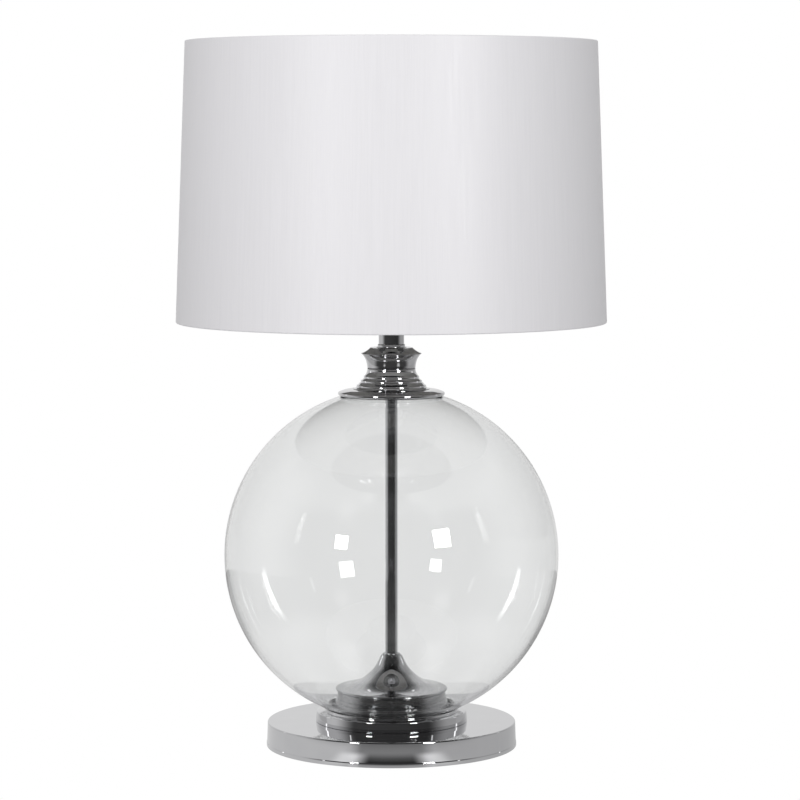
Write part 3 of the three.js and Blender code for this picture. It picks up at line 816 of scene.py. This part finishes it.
def make_holder():
    r, bottom, top = span("holder_cup")
    cup = turned(
        "holder_dome",
        rounded([
            (ROD_HOLE_R, bottom, 0), (14.0, bottom, 0.8), (17.9, bottom + 4.2, 4.0),
            (r, bottom + 9.4, 4.0), (r, top, 0.5),
            (r - 2.2, top, 0.2), (r - 2.2, bottom + 9.6, 0), (16.0, bottom + 5.0, 0), (13.0, bottom + 2.2, 0),
            (ROD_HOLE_R, bottom + 2.2, 0),
        ]),
        "lamp", "white_plastic", ["holder_cup"], FINE_SIDES,
    )
    low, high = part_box("switch_button_right")
    z = (low.z + high.z) / 2 / MM
    drill = bpy.data.objects.new("bar_drill", tube_mesh("bar_drill", [(-30, 0, z), (30, 0, z)], 3.5, 32))
    bpy.context.scene.collection.objects.link(drill)
    hole = cup.modifiers.new("bar_hole", "BOOLEAN")
    hole.operation = "DIFFERENCE"
    hole.object = drill
    cup.modifiers.move(len(cup.modifiers) - 1, 0)
    apply_modifier(cup, "bar_hole")
    bpy.data.objects.remove(drill)

    r, bottom, top = span("holder_skirt")
    outline = stack(r - 0.15, bottom + 1, top - 1, 110)
    outline = [(r - 2.4, bottom), (r - 0.4, bottom), *outline, (r - 0.6, top), (r - 2.4, top)]
    thread = screw(2.4, 0.75, bottom + 2, top - 1.2, r - 0.15)
    turned("holder_threaded_skirt", outline, "lamp", "white_plastic", ["holder_skirt"], FINE_SIDES, thread)
    r, bottom, top = span("shade_seat_ring")
    turned(
        "shade_seat",
        rounded([
            (19.75, bottom, 0.3), (r - 0.6, bottom, 0.5), (r, bottom + 1, 0.5),
            (r, top, 0.5), (19.75, top, 0.3),
        ]),
        "lamp", "white_plastic", ["shade_seat_ring"], FINE_SIDES,
    )

    for side in ("left", "right"):
        node_name = f"switch_button_{side}"
        low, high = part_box(node_name)
        length, radius = (high.x - low.x) / MM, (high.z - low.z) / 2 / MM
        outline = rounded([(0, 0, 0), (radius, 0, 1.0), (radius, length, 1.0), (0, length, 0)])
        mesh = turned_mesh(f"push_{side}", outline, 48)
        place = Matrix.Translation((low.x, 0, (low.z + high.z) / 2)) @ Matrix.Rotation(math.pi / 2, 4, "Y")
        mesh.transform(place)
        weigh_normals(finish_piece(f"push_{side}", mesh, "push_bar", "white_plastic", [node_name]))


def make_shade_ring():
    """The screw ring over the fitter, with finger ribs round its collar."""
    r, bottom, top = span("shade_ring")
    collar = 23.0
    flange = rounded([
        (19.9, bottom, 0.2), (r, bottom, 0.6), (r, bottom + 2, 0.6), (collar + 0.6, bottom + 2, 0.2),
    ])
    outline = [
        *flange[:-(FILLET_STEPS + 1)],  # the last corner only shapes its neighbours
        *stack(collar, bottom + 2.6, top - 1, 4), (collar - 0.8, top), (20.6, top), (19.9, top - 0.6),
    ]

    def ribs(angle, radius, z):
        if abs(radius - collar) > 0.05:
            return radius, z
        return radius + 0.35 * math.cos(angle * 36), z

    turned("shade_screw_ring", outline, "shade_ring", "white_plastic", ["shade_ring"], 288, ribs)


# ---------------------------------------------------------------- bulb


def make_bulb():
    r, bottom, top = span("bulb_cap")
    wall = r - 0.05
    outline = [(6, bottom), (9.4, bottom)]
    outline += smooth([(9.8, bottom + 0.2), (11.9, bottom + 1.5), (12.9, bottom + 3.0)], 4)
    outline += stack(wall, bottom + 3.4, top - 2.2, 80)
    outline += [(13.0, top - 1.8), (13.1, top), (12.2, top), (11.6, top - 2)]
    outline += [(11.6, bottom + 4.0), (6, bottom + 1)]
    thread = screw(3.63, 0.75, bottom + 3.4, top - 2.2, wall)
    turned("bulb_screw_cap", outline, "bulb", "nickel", ["bulb_cap"], FINE_SIDES, thread)

    r, bottom, top = span("bulb_contact")
    outline = [(0, bottom), (2, bottom), *arc(2.6, bottom + 1.4, 1.8, -70, 0, 6), (4.4, top), (0, top)]
    turned("bulb_solder_tip", outline, "bulb_tip", "solder", ["bulb_contact"], 48)
    r, bottom, top = span("bulb_insulator")
    turned(
        "bulb_glass_insulator", rounded([(0, bottom, 0), (4.8, bottom, 0.5), (r, top, 0.3), (0, top, 0)]),
        "bulb", "black_plastic", ["bulb_insulator"], 64,
    )

    r, bottom, top = span("bulb_housing")
    outside = smooth([(13.4, bottom), (14.2, bottom + 2.0), (16.6, 488), (21.6, 500), (r, top - 0.4)])
    inside = [(p[0] - 1.2, p[1] + 0.4) for p in reversed(outside)]
    turned("bulb_body", outside + inside, "bulb", "white_plastic", ["bulb_housing"], FINE_SIDES)
    r, bottom, top = span("bulb_dome")
    middle = top - 30
    start = -math.degrees(math.asin((middle - bottom) / 30))
    outline = arc(0, middle, 30, start, 90, 40) + arc(0, middle, 28.8, 90, start, 40)
    turned("bulb_diffuser", outline, "bulb", "opal", ["bulb_dome"], FINE_SIDES)


# ---------------------------------------------------------------- shade


def make_shade():
    """Satin on a laminate lining. The cloth is turned over both wires and lapped at the back."""
    low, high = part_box("shade_fabric")
    bottom, top = low.z / MM, high.z / MM
    bottom_r, top_r = SHADE_BOTTOM_R, SHADE_TOP_R

    def outer(z):
        return bottom_r + (top_r - bottom_r) * (z - bottom) / (top - bottom)

    cloth, hem, fold = 0.55, 11.0, 4.0
    fold_radius = 1.0
    outline = arc(outer(bottom) - fold_radius, bottom + fold_radius, fold_radius, -90, 0, 5)
    outline += [(outer(z), z) for z in [bottom + 6 + (top - bottom - 12) * i / 40 for i in range(41)]]
    outline += arc(outer(top) - fold_radius, top - fold_radius, fold_radius, 0, 90, 5)
    depth = fold + cloth
    outline += arc(outer(top) - depth + fold_radius, top - fold_radius, fold_radius, 90, 180, 5)
    outline += [(outer(top) - depth, top - hem), (outer(top) - depth + cloth, top - hem)]
    outline += arc(outer(top) - depth + cloth + 0.5, top - 1.1, 0.5, 180, 0, 4)
    outline += [(outer(top) - cloth, top - 6), (outer(bottom) - cloth, bottom + 6)]
    outline += arc(outer(bottom) - depth + cloth + 0.5, bottom + 1.1, 0.5, 0, -180, 4)
    outline += [(outer(bottom) - depth + cloth, bottom + hem), (outer(bottom) - depth, bottom + hem)]
    outline += arc(outer(bottom) - depth + fold_radius, bottom + fold_radius, fold_radius, 180, 270, 5)

    lap = math.radians(3.4)
    back = math.pi / 2

    def seam(angle, r, z):
        """The lap stands proud by one cloth at the back, with a crisp step on one side."""
        off = angle - back
        if abs(r - outer(z)) > 0.05:
            return r, z
        step = 0.45 if 0 <= off <= lap else 0.0
        return r + step, z

    fabric = turned("shade_cloth", outline, "shade", "shade_fabric", ["shade_fabric"], 384, seam)

    inner = 1.1
    thick = 0.8
    outline = [
        (outer(bottom) - inner, bottom + 1.8), (outer(top) - inner, top - 1.8),
        (outer(top) - inner - thick, top - 1.8), (outer(bottom) - inner - thick, bottom + 1.8),
    ]
    turned("shade_lining_sheet", outline, "shade", "shade_lining", ["shade_lining"], 384)


def make_shade_frame():
    """Two wire rings, the fitter ring and three arms that dip to the lower ring."""
    for name in ("bottom_wire", "top_wire"):
        r, low, high = span(name)
        outline = arc(r - 1.5 - 0.3, (low + high) / 2, 1.25, 0, 345, 23)
        turned(f"{name}_ring", outline, "shade", "painted_wire", [name], 256)
    r, bottom, top = span("fitter_ring")
    turned(
        "fitter_washer",
        rounded([(20.8, bottom, 0.3), (r, bottom, 0.5), (r, top, 0.5), (20.8, top, 0.3)]),
        "shade", "painted_wire", ["fitter_ring"], FINE_SIDES,
    )
    wire_r, wire_low, wire_high = span("bottom_wire")
    ring_z = (bottom + top) / 2
    for arm in range(3):
        angle = math.pi / 2 + arm * 2 * math.pi / 3
        flat = [(26.0, ring_z), (34.0, ring_z), (42.0, ring_z - 1.4)]
        low_end = [(150, 414.2), (186, 403.0), (wire_r - 4.2, (wire_low + wire_high) / 2 + 0.2)]
        route = smooth([*flat, (60, ring_z - 8.0), (105, 429.0), *low_end], 6)
        path = [(r * math.cos(angle), r * math.sin(angle), z) for r, z in route]
        mesh = tube_mesh(f"fitter_spoke_{arm + 1}", path, 1.75, 16)
        finish_piece(f"fitter_spoke_{arm + 1}", mesh, "shade", "painted_wire", [f"fitter_arm_{arm + 1}"])


finish_cad_nodes()
make_base()
make_grommet()
make_plinth()
make_globe()
make_seat()
make_bell()
make_cap()
make_neck()
make_holder()
make_shade_ring()
make_bulb()
make_shade()
make_shade_frame()
